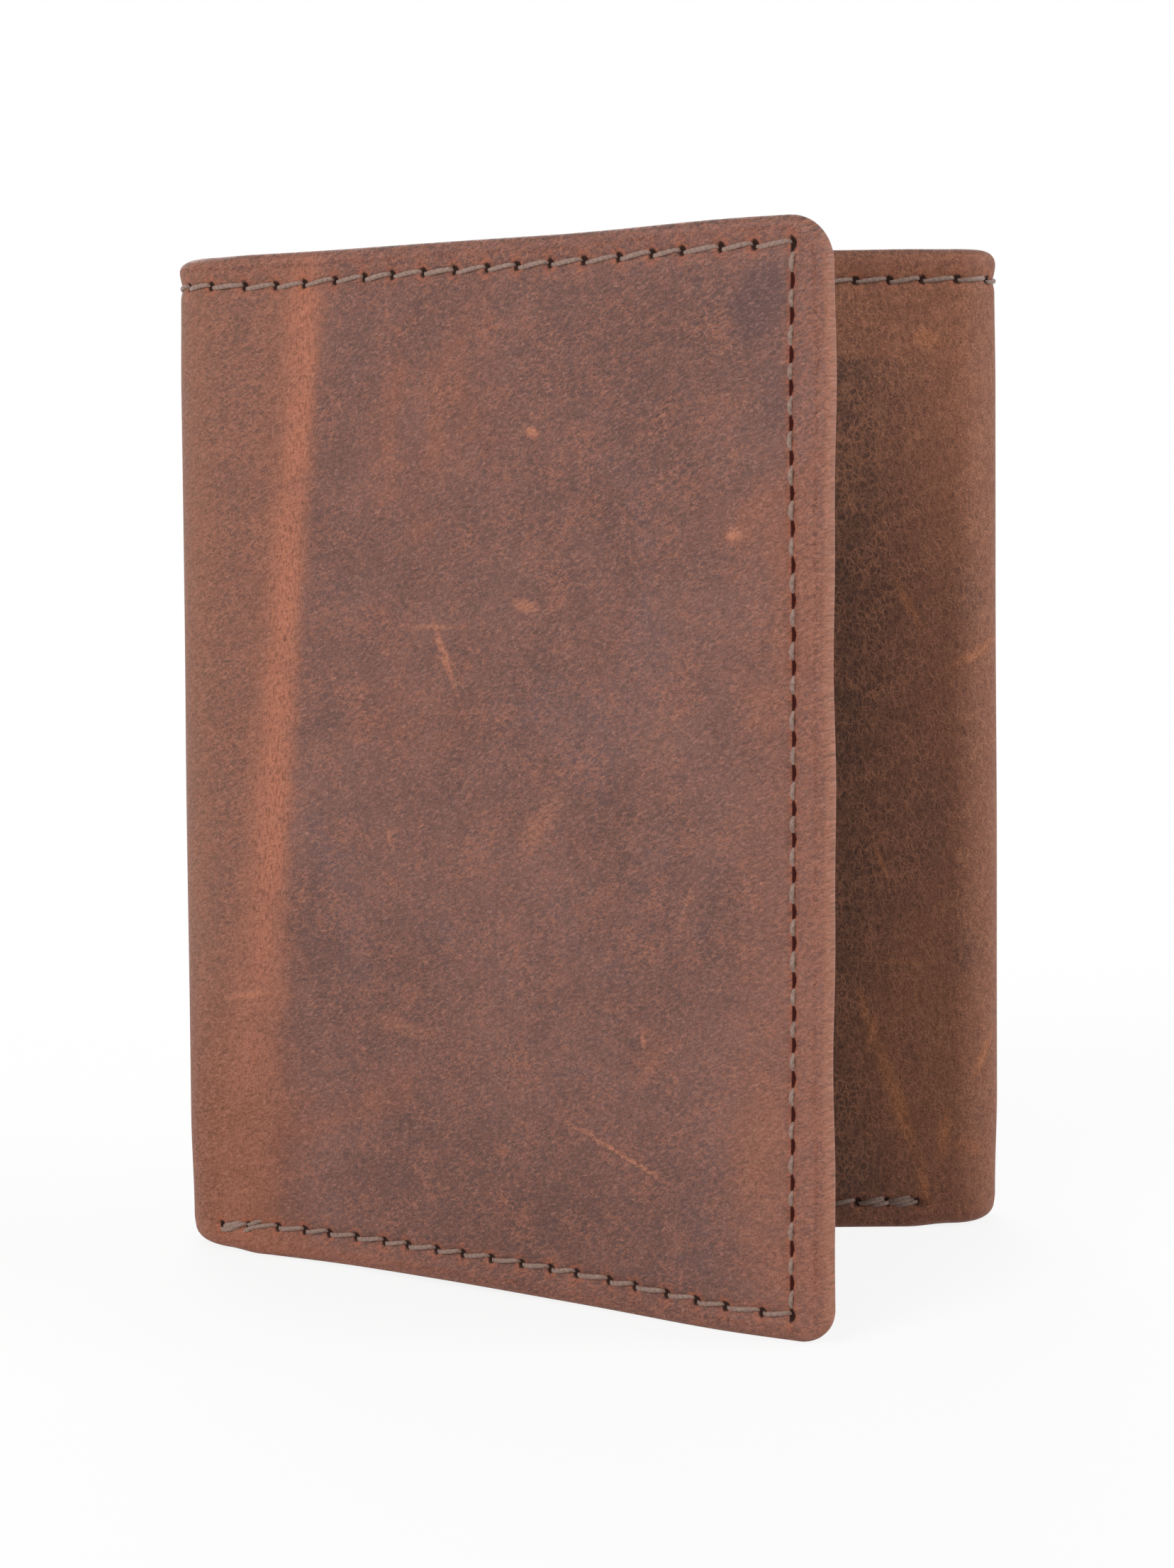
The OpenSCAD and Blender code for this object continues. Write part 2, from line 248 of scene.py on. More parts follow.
def make_object(name, verts, faces, material, uv, attributes=None, caps=0):
    """Closed mesh object with outward normals, smooth faces, a map in metres and point attributes.

    The last faces, as many as caps says, are flat ends with sharp borders.
    """
    mesh = bpy.data.meshes.new(name)
    mesh.from_pydata(verts.tolist(), [], faces)
    loops = np.empty(len(mesh.loops), np.int32)
    mesh.loops.foreach_get("vertex_index", loops)
    layer_uv = mesh.uv_layers.new(name="Sheet")
    layer_uv.data.foreach_set("uv", uv[loops].astype(np.float32).ravel())
    for key, values in (attributes or {}).items():
        made = mesh.attributes.new(key, "FLOAT", "POINT")
        made.data.foreach_set("value", np.asarray(values, np.float32))
    bm = bmesh.new()
    bm.from_mesh(mesh)
    bmesh.ops.recalc_face_normals(bm, faces=bm.faces)
    bm.faces.ensure_lookup_table()
    for face in bm.faces[len(faces) - caps:]:
        for side in face.edges:
            side.smooth = False
    bm.to_mesh(mesh)
    bm.free()
    mesh.polygons.foreach_set("use_smooth", np.ones(len(mesh.polygons), bool))
    mesh.materials.append(material)
    obj = bpy.data.objects.new(name, mesh)
    bpy.context.scene.collection.objects.link(obj)
    return obj


def marks(length, step, near_start, near_end):
    """Places from 0 to length, step apart, with closer ones near each end where asked."""
    close = np.array([0, 0.05, 0.13, 0.24, 0.38, 0.56, 0.8, 1.1, 1.45]) * MM
    start = close if near_start else np.array([0])
    end = length - close[::-1] if near_end else np.array([length])
    gap = end[0] - start[-1]
    inner = np.linspace(start[-1], end[0], max(2, int(round(gap / step)) + 1))[1:-1]
    return np.concatenate([start, inner, end])


def closer(places, low, high, step):
    """The same places, with those between low and high a step apart."""
    inside = np.linspace(low, high, int(round((high - low) / step)) + 1)
    apart = (places < low - step / 2) | (places > high + step / 2)
    return np.sort(np.concatenate([places[apart], inside]))


def plan(p0, p1, z0, z1, p_step, z_step, corner_low=0, corner_high=0, free_end=True,
         free_start=False, fine_p=(), fine_z=()):
    """Grid of p and z over a sheet whose free corners are rounded, and its distance from the border."""
    cols = p0 + marks(p1 - p0, p_step, free_start, free_end)
    rows = z0 + marks(z1 - z0, z_step, True, True)
    for low, high in fine_p:
        cols = closer(cols, low, high, 0.16 * MM)
    for low, high in fine_z:
        rows = closer(rows, low, high, 0.2 * MM)
    p, z = np.meshgrid(cols, rows, indexing="ij")
    low, high = z - z0, z1 - z
    d = np.minimum(low, high)
    if free_end:
        corners = [(r, near) for r, near in ((corner_low, low), (corner_high, high)) if r > 0]
        edge = np.full_like(z, p1)
        for r, near in corners:
            edge = edge - quarter(near, r)
        zone = 2 * max(corner_low, corner_high, 1 * MM)
        begin = p1 - zone
        share = np.clip((p - begin) / zone, 0, 1)
        p = np.where(p > begin, begin + (edge - begin) * share, p)
        free = p1 - p
        d = np.minimum(d, free)
        for r, near in corners:
            inside = (free < r) & (near < r)
            d = np.where(inside, r - np.hypot(r - free, r - near), d)
        d = np.maximum(d, 0)
    if free_start:
        d = np.minimum(d, np.maximum(p - p0, 0))
    return p, z, d


def ring_faces(rings, sides, closed=False):
    """Quads between rings of points. Closed also joins the last ring to the first."""
    i, j = np.meshgrid(np.arange(rings if closed else rings - 1), np.arange(sides), indexing="ij")
    k, m = (i + 1) % rings, (j + 1) % sides
    corners = [i * sides + j, i * sides + m, k * sides + m, k * sides + j]
    return np.stack(corners, -1).reshape(-1, 4).tolist()


def grid_object(name, path, p, z, outer, inner, material, free_end, free_start=False, attributes=None):
    """Sheet between two depth grids. Its free borders share one rim; cut ends get a flat cap."""
    rim = np.zeros(p.shape, bool)
    rim[:, [0, -1]] = True
    rim[-1] |= free_end
    rim[0] |= free_start
    top = np.arange(p.size).reshape(p.shape)
    under = top.copy()
    under[~rim] = p.size + np.arange(np.sum(~rim))
    grid_point = np.concatenate([top.ravel(), top[~rim]])
    x0, y0 = path.place(p, np.where(rim, (outer + inner) / 2, outer))
    x1, y1 = path.place(p, inner)
    side = sideways(path, p, z)
    verts = np.concatenate([
        np.stack([x0 + side, y0, z], -1).reshape(-1, 3),
        np.stack([x1 + side, y1, z], -1)[~rim],
    ])
    a, b, c, d = top[:-1, :-1], top[1:, :-1], top[1:, 1:], top[:-1, 1:]
    faces = [np.stack([a, b, c, d], -1).reshape(-1, 4)]
    faces.append(under.ravel()[np.stack([a, d, c, b], -1).reshape(-1, 4)])
    caps = 0
    for col, free in ((0, free_start), (-1, free_end)):
        if not free:
            t, u = top[col], under[col]
            faces.append(np.stack([t[:-1], t[1:], u[1:], u[:-1]], -1))
            caps += len(t) - 1
    # A quad at the end of a cap repeats a point of the rim, so doubled points are dropped
    faces = [list(dict.fromkeys(f)) for f in np.concatenate(faces).tolist()]
    uv = np.stack([path.s(p), z], -1).reshape(-1, 2)[grid_point]
    extra = {key: values.ravel()[grid_point] for key, values in (attributes or {}).items()}
    return make_object(name, verts, faces, material, uv, extra, caps)


# Stitches

rng = np.random.default_rng(41)


def hole_row(start, end, pitch):
    """Needle holes from start to end, about a pitch apart and a little uneven."""
    count = max(1, int(round((end - start) / pitch)))
    places = np.linspace(start, end, count + 1)
    places[1:-1] += rng.uniform(-0.07, 0.07, max(count - 1, 0)) * (end - start) / count
    return places


def nearest(values, places):
    """Distance of each value from the nearest of some sorted places."""
    i = np.clip(np.searchsorted(places, values), 1, len(places) - 1)
    return np.minimum(np.abs(values - places[i - 1]), np.abs(values - places[i]))


def straight(value):
    """Line of a seam that keeps its place."""
    return lambda run: value + 0 * run


def front_top_line(p):
    """Height of the front flap's top seam, which dips near the bend."""
    u = p - front_path.bend_end
    dip = SEAM_DIP * (1 - smooth(u, 20 * MM, 66 * MM)) + 0.4 * MM * bell(u - 9 * MM, 9 * MM)
    return SEAM_TOP - dip


def front_bottom_line(p):
    """Height of the front flap's bottom seam, which comes down to the corner and at its first stitch."""
    u = p - front_path.bend_end
    rise = 0.75 * MM * (1 - smooth(u, 42 * MM, 67 * MM))
    return SEAM_BOTTOM + rise - 0.45 * MM * bell(u - 1 * MM, 2.6 * MM)


def front_side_line(z):
    """Place of the front flap's side seam along the strip."""
    inward = 0.28 * bell(z - 87 * MM, 12 * MM) + 0.25 * (1 - smooth(z, 5 * MM, 35 * MM))
    return front_path.end - SEAM_SIDE - inward * MM


def back_top_line(p):
    """Height of the top seam on the back, which meets the lower seams of the flaps at the spines."""
    return SEAM_TOP - SEAM_DIP * smooth(p, 10 * MM, 35 * MM)


def strip_seams(path):
    """Outer seams of a strip, each as (runs along p, its line, holes). Pitches as counted in the photo."""
    side = path.end - SEAM_SIDE
    if path is front_path:
        return [
            (True, front_top_line, hole_row(0, side, 3.75 * MM)),
            (False, front_side_line, hole_row(SEAM_BOTTOM, SEAM_TOP, SIDE_PITCH)),
            (True, front_bottom_line, hole_row(path.bend_end - 0.1 * MM, side - 0.2 * MM, 3.4 * MM)),
        ]
    if path is tucked_path:
        start = path.bend_end + 2 * SEAM_START
        return [
            (True, straight(SEAM_TOP - SEAM_DIP), hole_row(0, side, 3.5 * MM)),
            (False, straight(side), hole_row(SEAM_BOTTOM, SEAM_TOP, SIDE_PITCH)),
            (True, straight(SEAM_BOTTOM + 0.4 * MM), hole_row(start, side, LEVEL_PITCH)),
        ]
    return [
        (True, back_top_line, hole_row(0, path.end, 3.6 * MM)),
        (True, straight(SEAM_BOTTOM), hole_row(0, path.first, 3.4 * MM)),
    ]


def seam_relief(path, p, z, seams):
    """Channel depth, dimple mask and distance from the nearest hole over a plan grid."""
    channel = np.zeros_like(p)
    dimples = np.zeros_like(p)
    away_from_hole = np.full_like(p, 4 * MM)
    for along_p, line, places in seams:
        run, across = (p, z - line(p)) if along_p else (z, p - line(z))
        outside = np.maximum(np.maximum(places[0] - run, run - places[-1]), 0)
        channel = np.maximum(channel, CHANNEL * bell(np.hypot(across, outside), 0.62 * MM))
        gap = np.hypot(nearest(run, places), outside)
        dimples = np.maximum(dimples, bell(gap, 0.55 * MM) * bell(across, 0.42 * MM))
        # Holes are upright slits, seen past the end of the stitch that goes into them
        shift = -0.12 * MM * path.s_sign if along_p else 0
        gap = np.hypot(nearest(run - shift, places), outside)
        slit = np.hypot(gap, across / 1.25) if along_p else np.hypot(gap / 2.2, across / 0.5)
        away_from_hole = np.minimum(away_from_hole, slit)
    return channel, dimples, away_from_hole


# Stitches of level and of upright seams: least and most slant in millimetres, the share of the pitch that
# they leave free at each hole, how round they arch and how slim they are at their ends
LEVEL_STITCH = (0.4, 0.65, 0, 0.34, 0.6)
UPRIGHT_STITCH = (0.05, 0.18, 0.12, 0.6, 0.3)
STITCH_RINGS = 17
STITCH_SIDES = 12
TWIST = 1.3


def twisted_stitches(name, path, runs, face=None, shift=None):
    """Rows of separate twisted stitches that dive into their holes.

    face(p, z) is the depth they lie on; without it, the outer channel. shift(p, z) raises them with the hem.
    """
    t = np.linspace(0, 1, STITCH_RINGS)[:, None]
    turn = np.linspace(0, math.tau, STITCH_SIDES, endpoint=False)[None, :]
    count = STITCH_RINGS * STITCH_SIDES
    tube = ring_faces(STITCH_RINGS, STITCH_SIDES)
    tube += [list(range(STITCH_SIDES)), list(range(count - STITCH_SIDES, count))]
    verts, faces, uvs = [], [], []
    for along_p, line, places in runs:
        least, most, dive, arching, slim = LEVEL_STITCH if along_p else UPRIGHT_STITCH
        for a, b in zip(places[:-1], places[1:]):
            slant = rng.uniform(least, most) * MM * -path.s_sign
            run = a + (b - a) * (dive + (1 - 2 * dive) * t)
            lean = (2 * t - 1) * (1 - 0.8 * (2 * t - 1) ** 8)
            across = line(run) + slant * lean * 0.5 + rng.uniform(-0.05, 0.05) * MM
            arch = np.sin(math.pi * t) ** arching
            lift = (-0.76 + 0.9 * arch + 0.05 * rng.uniform(-1, 1)) * MM
            size = THREAD_R * (slim + (1 - slim) * arch) * rng.uniform(0.94, 1.06)
            phase = rng.uniform(0, math.tau)
            size = size * (1 + 0.06 * np.cos(3 * (turn - math.tau * TWIST * t) + phase))
            across = across + size * np.cos(turn)
            lift = lift + size * np.sin(turn) * 0.85
            run = run + 0 * turn
            p, z = (run, across) if along_p else (across, run)
            depth = CHANNEL - lift if face is None else face(p, z) + lift
            x, y = path.place(p, depth)
            uvs.append(np.stack([path.s(p), z], -1).reshape(-1, 2))
            if shift is not None:
                z = z + shift(p, z)
            faces += [[len(verts) * count + i for i in corners] for corners in tube]
            verts.append(np.stack([x + sideways(path, p, z), y, z], -1).reshape(-1, 3))
    return make_object(name, np.concatenate(verts), faces, THREAD, np.concatenate(uvs))


# Materials

def srgb(r, g, b):
    """Linear colour of an 8-bit screen colour."""
    def one(v):
        v /= 255
        return v / 12.92 if v <= 0.04045 else ((v + 0.055) / 1.055) ** 2.4
    return (one(r), one(g), one(b), 1)


class Nodes:
    """Short way to write the node tree of a material or a world."""

    def __init__(self, name, kind="Material"):
        store = bpy.data.worlds if kind == "World" else bpy.data.materials
        self.owner = store.new(name)
        self.owner.use_nodes = True
        self.tree, self.colour = self.owner.node_tree, None
        self.tree.nodes.clear()
        self.surface = self.add("Output" + kind).inputs["Surface"]

    def add(self, kind, inputs=None, **settings):
        """New node with some settings, and with values or links at some of its inputs."""
        node = self.tree.nodes.new("ShaderNode" + kind)
        for key, value in settings.items():
            setattr(node, key, value)
        for key, value in (inputs or {}).items():
            self.put(value, node.inputs[key])
        return node

    def put(self, value, target):
        """Link a socket to an input, or set the input to a plain value."""
        if isinstance(value, bpy.types.NodeSocket):
            self.tree.links.new(value, target)
        else:
            target.default_value = value

    def principled(self, colour, rough, normal, more):
        """Put a shader with some inputs on the surface, and give back the material."""
        inputs = {"Base Color": colour, "Roughness": rough, "Normal": normal, **more}
        self.put(self.add("BsdfPrincipled", inputs).outputs["BSDF"], self.surface)
        return self.owner

    def mixed(self, share, a, b):
        """Put a mix of two shaders on the surface."""
        inputs = {0: share, 1: a.outputs[0], 2: b.outputs[0]}
        self.put(self.add("MixShader", inputs).outputs[0], self.surface)

    def math(self, operation, a, b=0):
        return self.add("Math", {0: a, 1: b}, operation=operation).outputs[0]

    def plus(self, a, b):
        return self.math("ADD", a, b)

    def minus(self, a, b):
        return self.math("SUBTRACT", a, b)

    def most(self, a, b):
        return self.math("MAXIMUM", a, b)

    def times(self, *factors):
        """Product of some values."""
        product = factors[0]
        for factor in factors[1:]:
            product = self.math("MULTIPLY", product, factor)
        return product

    def mix(self, factor, a, b):
        return self.add("Mix", {0: factor, 6: a, 7: b}, data_type="RGBA").outputs[2]

    def lay(self, tone, *factors):
        """Lay a tone over the colour so far, as strongly as the product of some values says."""
        self.colour = self.mix(self.times(*factors), self.colour, srgb(*tone))

    def vector(self, operation, *inputs):
        """Outputs of a vector node with some inputs in their order."""
        return self.add("VectorMath", dict(enumerate(inputs)), operation=operation).outputs

    def scaled(self, vector, factor):
        return self.add("VectorMath", {0: vector, "Scale": factor}, operation="SCALE").outputs[0]

    def sheet_mm(self):
        """Place on the unrolled sheet, in millimetres."""
        return self.scaled(self.add("UVMap", uv_map="Sheet").outputs[0], 1 / MM)

    def parts(self, vector):
        """The first two coordinates of a vector."""
        outputs = self.add("SeparateXYZ", {0: vector}).outputs
        return outputs["X"], outputs["Y"]

    def mapped(self, vector, location=(0, 0, 0), turn=0, scale=(1, 1, 1)):
        inputs = {"Vector": vector, "Location": location, "Rotation": (0, 0, turn), "Scale": scale}
        return self.add("Mapping", inputs, vector_type="TEXTURE").outputs[0]

    def noise(self, vector, scale, detail=4, rough=0.55, distortion=0, output="Fac"):
        inputs = {"Vector": vector, "Scale": scale, "Detail": detail, "Roughness": rough}
        inputs["Distortion"] = distortion
        return self.add("TexNoise", inputs).outputs[output]

    def span(self, value, low, high, to_low=0, to_high=1):
        """Smooth step of a value from low to high."""
        inputs = {"Value": value, "From Min": low, "From Max": high, "To Min": to_low, "To Max": to_high}
        return self.add("MapRange", inputs, interpolation_type="SMOOTHSTEP").outputs[0]

    def point(self, name):
        """A value that the mesh carries at its points."""
        return self.add("Attribute", attribute_name=name).outputs["Fac"]

    def warped(self, vector, scale, amount):
        """The same place, pushed about by noise, so that what is drawn there gets ragged borders."""
        cloud = self.noise(vector, scale, 4, 0.5, output="Color")
        push = self.vector("MULTIPLY_ADD", cloud, (2 * amount, 2 * amount, 0), vector)[0]
        return self.vector("ADD", push, (-amount, -amount, 0))[0]

    def spot(self, vector, s, z, half_s, half_z, turn=0, core=0):
        """Soft ellipse on the sheet, 1 in its middle and 0 at its border. Millimetres and radians."""
        local = self.mapped(vector, (s, z, 0), turn, (half_s, half_z, 1))
        flat = self.vector("MULTIPLY", local, (1, 1, 0))[0]
        return self.span(self.vector("LENGTH", flat)["Value"], 1, core)

    def ridge(self, vector, turn, scale, stretch):
        """Thin wavy lines, 1 along each line, drawn out in one direction."""
        flow = self.noise(self.mapped(vector, turn=turn, scale=(stretch, 1, 1)), scale, 2, 0.5, 1)
        return self.span(self.math("ABSOLUTE", self.minus(flow, 0.5)), 0.06, 0.012)

    def cracks(self, vector, scale, width):
        """Net of thin lines between cells, 1 along each line."""
        node = self.add("TexVoronoi", {"Vector": vector, "Scale": scale}, feature="DISTANCE_TO_EDGE")
        return self.span(node.outputs["Distance"], width, 0)

    def bump(self, height, distance, strength):
        return self.add("Bump", {"Height": height, "Distance": distance, "Strength": strength}).outputs[0]

    def seen_directly(self):
        """1 for rays that show the background itself: from the camera, in a reflection or through glass."""
        rays = self.add("LightPath").outputs
        seen = self.most(rays["Is Camera Ray"], rays["Is Glossy Ray"])
        return self.most(seen, rays["Is Transmission Ray"])


# Places on the unrolled sheet, from the distance to the bend of the front flap or of the tucked flap
flap_s = front_path.sheet_mm
tucked_s = tucked_path.sheet_mm

# Where the reddish hide of the front drifts to the olive brown of the tucked flap, on the unrolled sheet. The
# drift also paints the shade that the front flap casts on the tucked flap
DRIFT = (-10, 58)

# Scuffs and scratches on the front flap, in millimetres and radians: distance from the bend, height,
# half length, half width, tilt, strength
FLAP_MARKS = [
    (40.5, 85.3, 1.4, 0.8, 0.2, 0.8),
    (39.6, 68.6, 2.2, 0.95, 0.1, 0.8),
    (63.3, 75.4, 1.2, 1, 0, 0.9),
    (28.5, 66.4, 6.5, 0.45, 0, 0.45),
    (29.8, 63.6, 6.2, 0.6, 1.2, 0.7),
    (50.6, 15.9, 9.2, 0.36, 0.38, 0.8),
    (3.9, 27.7, 4.2, 0.6, -0.2, 0.75),
    (24, 26, 9, 1.2, 0.1, 0.25),
    (11, 39, 4, 0.5, 1.9, 0.3),
    (53.1, 27.4, 1.3, 0.5, 1.5, 0.7),
    (22.4, 45.3, 2.8, 0.45, 1.18, 0.45),
    (41.3, 47.6, 6, 2, -0.86, 0.3),
    (58, 40, 5, 0.6, 1.9, 0.3),
]

# Dimmer parts of the front flap: distance from the bend, height, half width, half height, strength
FLAP_SHADES = [
    (56, 94, 22, 13, 0.85),
    (40, 8, 36, 16, 0.55),
    (25, 36, 14, 18, 0.3),
    (23.5, 9, 10, 9, 0.45),
]

# Scuffs on the tucked flap, written in the same way as those on the front flap
TUCKED_MARKS = [
    (6, 13.9, 10.5, 1.3, 1.25, 0.75),
    (8.6, 21.5, 3, 0.7, 1.7, 0.7),
    (-3.2, 19, 4.6, 0.8, 2.03, 0.75),
    (1, 10.4, 4.2, 1.1, 1.7, 0.75),
    (3.2, 4.6, 3, 0.8, 1.4, 0.8),
    (-1.5, 9, 2.4, 1.4, 0.6, 0.4),
    (5.5, 29, 4.6, 0.4, 0.1, 0.4),
    (4.7, 67.3, 5, 0.8, 1.1, 0.6),
    (-2.6, 62, 5.6, 1, 2.68, 0.7),
    (7.7, 40, 3.8, 0.5, 1.2, 0.6),
    (2.5, 95, 2.4, 1.6, 0.3, 0.6),
    (9.6, 24, 3.4, 0.6, 1.4, 0.6),
]

# Tones of the tucked flap: distance from its bend, height, half width, half height, strength, colour. Most
# are smudges and lighter patches; the two large dark ones furthest from the bend are painted shade from the
# front flap
TUCKED_PATCHES = [
    (10, 7, 3, 7, 0.7, (62, 44, 38)),
    (4.5, 9, 1.3, 5, 0.4, (62, 44, 36)),
    (15, 80, 11, 13, 0.6, (74, 50, 38)),
    (15, 50, 7, 20, 0.5, (70, 47, 36)),
    (7.5, 84, 0.8, 9, 0.4, (136, 92, 66)),
    (5, 20, 10, 20, 0.65, (128, 80, 53)),
    (-1.4, 68, 3.2, 5, 0.5, (76, 51, 40)),
    (2.4, 45, 4.2, 10, 0.5, (76, 51, 40)),
    (-1, 30, 3, 4, 0.5, (70, 47, 38)),
    (4.5, 20, 1.6, 6, 0.45, (70, 46, 36)),
    (-2.8, 12.5, 1.2, 4, 0.4, (76, 51, 40)),
]


def shell_leather_material():
    """Waxed pull-up leather. Lengths are in millimetres on the unrolled sheet, tones are screen colours."""
    n = Nodes("waxed_shell_leather")
    at = n.sheet_mm()
    s, z = n.parts(at)
    top = HEIGHT / MM
    clouds = n.noise(at, 0.035, 3, 0.5, 0.5)
    patches = n.noise(at, 0.17, 4, 0.55, 0.3)
    hue = n.noise(n.mapped(at, (40, 20, 0), 0.3, (1, 1.4, 1)), 0.06, 4, 0.6, 0.8)
    cool = n.noise(at, 0.4, 3, 0.6)
    fine = n.noise(at, 5.2, 2, 0.6)
    loose = n.warped(at, 0.5, 1.2)
    ragged = n.warped(at, 1.5, 0.5)
    loose_s = n.parts(loose)[0]
    # The nap lies aslant on the front flap and stands upright on the tucked flap
    toward_tucked = n.span(s, *DRIFT)
    nap = n.noise(n.mapped(at, turn=-0.4, scale=(1.8, 0.9, 1)), 3.1, 3, 0.65, 0.9)
    upright = n.noise(n.mapped(at, turn=1.4, scale=(1.7, 1, 1)), 2, 4, 0.72, 0.9)
    nap = n.plus(nap, n.times(n.minus(upright, nap), toward_tucked))
    # Reddish hide at the front that drifts to olive brown at the tucked flap: its own yellower hue, painted
    # darker as shade from the front flap
    level = n.span(n.plus(n.times(clouds, 0.55), n.times(patches, 0.45)), 0.28, 0.72)
    n.colour = n.mix(level, srgb(93, 66, 61), srgb(119, 85, 77))
    n.lay((134, 84, 66), n.span(hue, 0.52, 0.72, 0, 0.65))
    n.lay((108, 82, 80), n.span(hue, 0.48, 0.3, 0, 0.65))
    n.lay((88, 69, 66), n.span(cool, 0.5, 0.75, 0, 0.2))
    olive = n.mix(level, srgb(54, 34, 26), srgb(88, 55, 41))
    n.colour = n.mix(toward_tucked, n.colour, olive)
    # Front flap: tan at the fold, then a waxy pull-up band that leans and spreads as it comes down
    on_front = n.span(s, flap_s(-30), flap_s(-9))
    u = n.minus(flap_s(0), loose_s)
    # The band's middle line stands 3.7 mm from the bend at the bottom. lean is the distance from that line
    lean = n.minus(n.minus(u, 3.7), n.times(z, 0.0885))
    n.lay((120, 81, 65), n.span(lean, 0, -4), on_front, 0.6)
    n.lay((138, 95, 75), n.span(u, 3, -3), on_front, 0.6)
    # Paler on the bend: partly wear, partly a painted sheen where the bend meets the light at a grazing angle
    n.lay((164, 119, 99), n.span(u, -3.5, -8.5), on_front, 0.5)
    n.lay((124, 71, 47), n.span(z, 36, 10), n.span(u, 15, 2), on_front, 0.8)
    shoulder = n.times(n.span(lean, -8, -1), n.span(lean, 4.5, -0.5), on_front)
    n.lay((146, 91, 69), shoulder, n.span(patches, 0.3, 0.65, 0.2, 0.5))
    wide = n.most(n.times(lean, 0.38), n.times(lean, -0.23))
    band = n.span(n.math("DIVIDE", wide, n.span(z, 8, 60, 1.5, 1)), 1, 0.1)
    band = n.times(band, on_front, n.span(patches, 0.3, 0.65, 0.5, 1), n.span(z, 10, 45, 0.25, 1))
    dashes = n.noise(n.mapped(at, scale=(0.26, 0.85, 1)), 1, 2, 0.5, 0.3)
    dashes = n.span(dashes, 0.52, 0.36, 0, 0.7)
    n.colour = n.mix(band, n.colour, n.mix(dashes, srgb(176, 109, 83), srgb(126, 74, 55)))
    n.lay((92, 60, 48), dashes, 0.3, on_front, n.span(lean, 4, 0))
    # Shade in the upper free corner, and dimmer parts of the front flap
    shade = n.times(n.spot(loose, flap_s(67.5), 87, 2.2, 9), 0.5)
    shade = n.most(n.spot(loose, flap_s(66), 96.6, 4, 5.2, 0.25, 0.4), shade)
    n.lay((88, 64, 67), shade, 0.6)
    for u_mm, z_mm, *form, strength in FLAP_SHADES:
        n.lay((94, 67, 62), n.spot(loose, flap_s(u_mm), z_mm, *form), strength)
    # Tucked flap: tan towards its fold, which is painted light, as the rest lies in the front flap's shade,
    # and tan above a soft line, with smudges, scuffs and a net of fine cracks
    on_tucked = n.span(s, tucked_s(-16), tucked_s(-10))
    n.lay((128, 79, 58), n.span(loose_s, tucked_s(12), tucked_s(-2)), on_tucked, 0.75)
    n.lay((114, 69, 49), n.span(n.parts(ragged)[1], 92.6, 93.5), on_tucked, 0.65)
    # Smudges, and painted shade in the large dark patches furthest from the bend
    for u_mm, z_mm, *form, strength, tone in TUCKED_PATCHES:
        n.lay(tone, n.spot(loose, tucked_s(u_mm), z_mm, *form), strength)
    net = n.cracks(n.mapped(ragged, scale=(0.85, 1.25, 1)), 1.3, 0.17)
    net = n.most(net, n.times(n.ridge(at, 1.3, 1.4, 1.6), 0.5))
    crackled = n.span(n.noise(at, 0.3, 4, 0.6), 0.36, 0.64, 0.3, 0.8)
    n.lay((142, 93, 68), net, toward_tucked, crackled)
    for u_mm, z_mm, *form, strength in TUCKED_MARKS:
        mark = n.spot(ragged, tucked_s(u_mm), z_mm, *form)
        n.lay((168, 105, 66), mark, n.span(nap, 0.35, 0.6, 0.45, 1), strength)
    # The free side of the front flap is painted warmer and lighter: partly worn by rubbing, partly a painted
    # sheen
    rubbed_and_sheen = n.times(n.span(loose_s, flap_s(60), flap_s(70)), n.span(z, 86, 55))
    n.lay((148, 95, 76), rubbed_and_sheen, 0.35)
    n.lay((160, 102, 74), n.spot(loose, flap_s(65.5), 18, 5.5, 12), 0.35)
    # Hem: warmer past the seam, paler at the side rim and low by the fold, dark at the top and bottom rim
    edge = n.point("edge")
    n.lay((146, 96, 78), n.span(edge, 3.6, 0.4, 0, 0.12))
    crease = n.math("ABSOLUTE", n.minus(n.plus(edge, n.times(patches, 0.9)), 1.75))
    n.lay((104, 60, 47), n.span(crease, 0.32, 0.08), n.span(cool, 0.4, 0.6, 0.15, 0.7))
    # Paler side rim: partly the edge's own paler tone, partly a painted highlight of the lamp at the right
    n.lay((158, 108, 86), n.span(edge, 0.7, 0.3), n.span(z, top - 2, top - 5), 0.55)
    n.lay((160, 98, 74), n.span(z, 3.6, 0.8), n.span(u, 42, 6), on_front, 0.5)
    flat_rim = n.most(n.span(z, top - 3, top - 0.6), n.span(z, 2, 0.4, 0, 0.35))
    n.lay((72, 54, 48), n.span(edge, 0.75, 0.2), flat_rim, 0.5)
    # Felted fibres: thin crossing wisps in clusters
    wisps = n.most(n.ridge(at, -0.55, 1.7, 2.6), n.ridge(at, 0.25, 1.6, 1.7))
    cluster = n.plus(n.noise(at, 0.26, 5, 0.68, 0.8), n.span(edge, 5, 1.5, 0, 0.12))
    cluster = n.plus(cluster, n.times(n.span(lean, 0, -5), on_front, 0.1))
    wisps = n.times(wisps, n.span(cluster, 0.36, 0.68, 0.15, 0.6), n.span(shade, 0, 1, 1, 0.2))
    n.lay((162, 103, 81), wisps, n.span(toward_tucked, 0, 1, 1, 0.3))
    # Scuffs and scratches
    for u_mm, z_mm, *form, strength in FLAP_MARKS:
        mark = n.spot(ragged, flap_s(u_mm), z_mm, *form)
        n.lay((192, 124, 94), mark, n.span(nap, 0.3, 0.6, 0.35, 1), strength)
